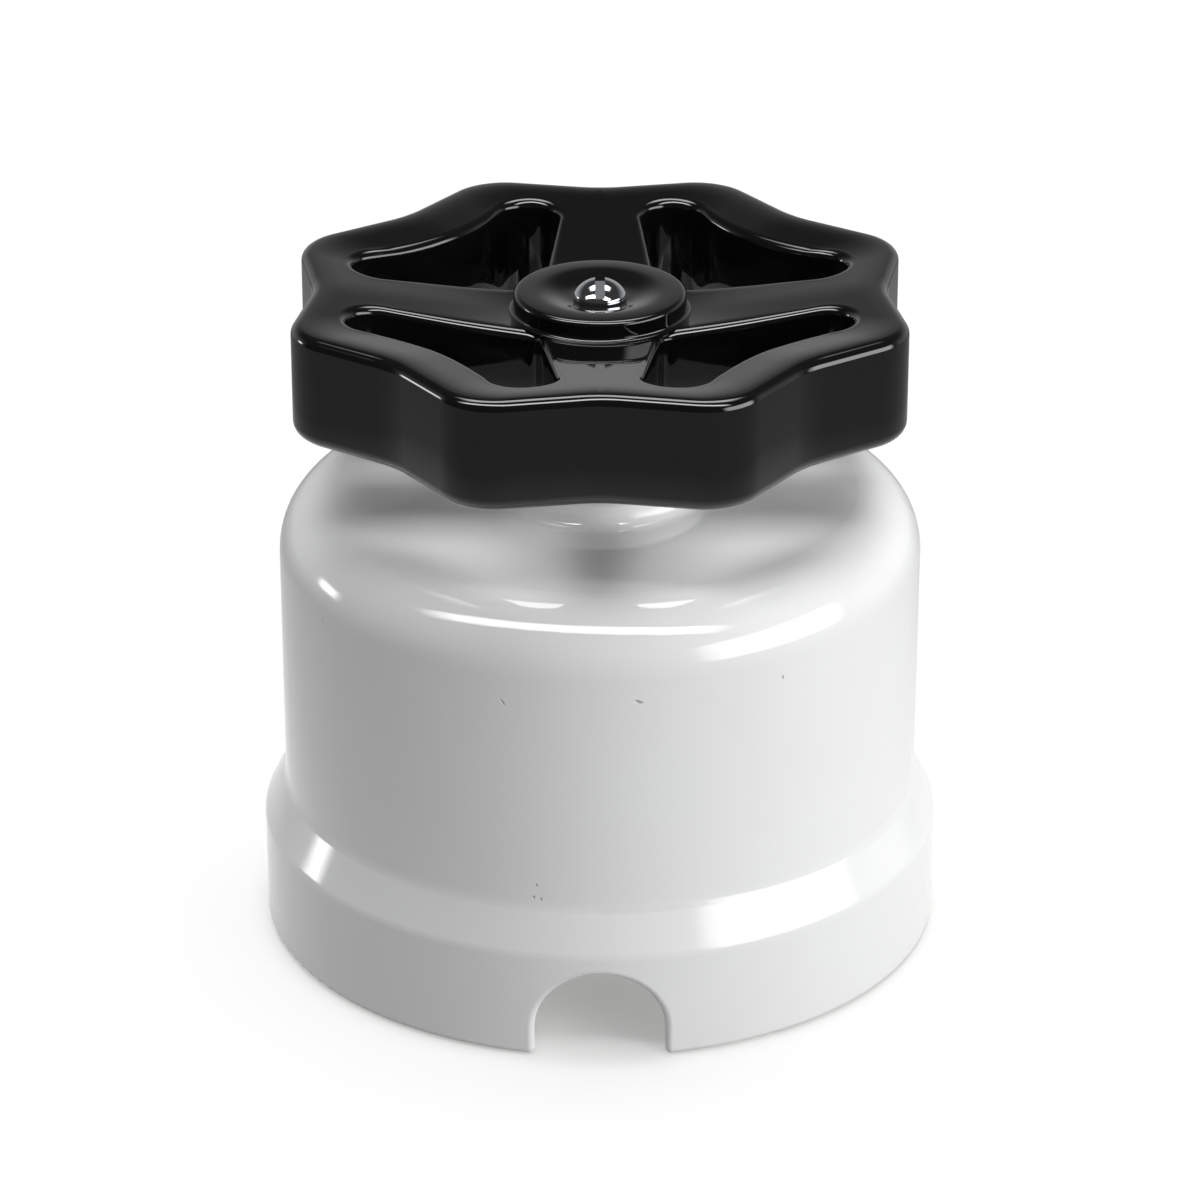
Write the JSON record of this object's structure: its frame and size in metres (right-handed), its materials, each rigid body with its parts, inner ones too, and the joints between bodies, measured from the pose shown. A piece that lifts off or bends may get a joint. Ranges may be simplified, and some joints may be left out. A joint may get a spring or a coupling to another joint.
{
  "type": "rotary light switch",
  "caption": "Round porcelain surface-mounted rotary light switch with a flanged bell cover, a cable notch and a black valve-wheel knob.",
  "frame": {"origin": "centre of the underside, on the wall face and the knob's axis", "axes": "+Z out of the wall along the knob's axis, -Y towards the cable notch, +X to the right seen from the notch side"},
  "size_m": [0.07, 0.07, 0.0687],
  "materials": {
    "white_porcelain": "white gloss glaze",
    "base_porcelain": "thin glaze, unglazed foot",
    "black_knob": "moulded, high gloss black",
    "chromed_screw": "polished, plated",
    "brass": "turned, bright",
    "bronze": "rolled phosphor bronze strip",
    "phenolic": "moulded brown phenolic",
    "steel": "ground",
    "plated_screws": "zinc plated"
  },
  "bodies": {
    "housing": {"cover": "white_porcelain", "base": "base_porcelain", "post_front": "brass", "post_rear": "brass", "post_screws": "plated_screws", "bridge_plate": "steel", "bridge_screws": "plated_screws", "threaded_bushing": "brass", "nut_washer": "brass", "ring_nut": "brass", "lower_bearing": "brass", "terminal_1": "brass", "terminal_2": "brass", "terminal_3": "brass", "terminal_4": "brass", "contact_spring_1": "bronze", "contact_spring_2": "bronze", "contact_spring_3": "bronze", "contact_spring_4": "bronze", "terminal_fixings": "plated_screws", "clamp_screws": "plated_screws", "spring_screws": "plated_screws", "detent_spring_left": "steel", "detent_spring_right": "steel", "detent_rivets": "plated_screws"},
    "knob": {"handwheel": "black_knob", "knob_screw": "chromed_screw", "spindle": "steel", "contact_drum": "phenolic", "contact_strip_1": "bronze", "contact_strip_2": "bronze", "detent_cam": "steel", "retaining_clip": "steel"}
  },
  "joints": [
    {"name": "knob_turn", "type": "hinge", "parent": "housing", "child": "knob", "pos_m": [0, 0, 0.06], "axis": [0, 0, 1], "continuous": true, "deforming": ["detent_spring_left", "detent_spring_right"]}
  ]
}
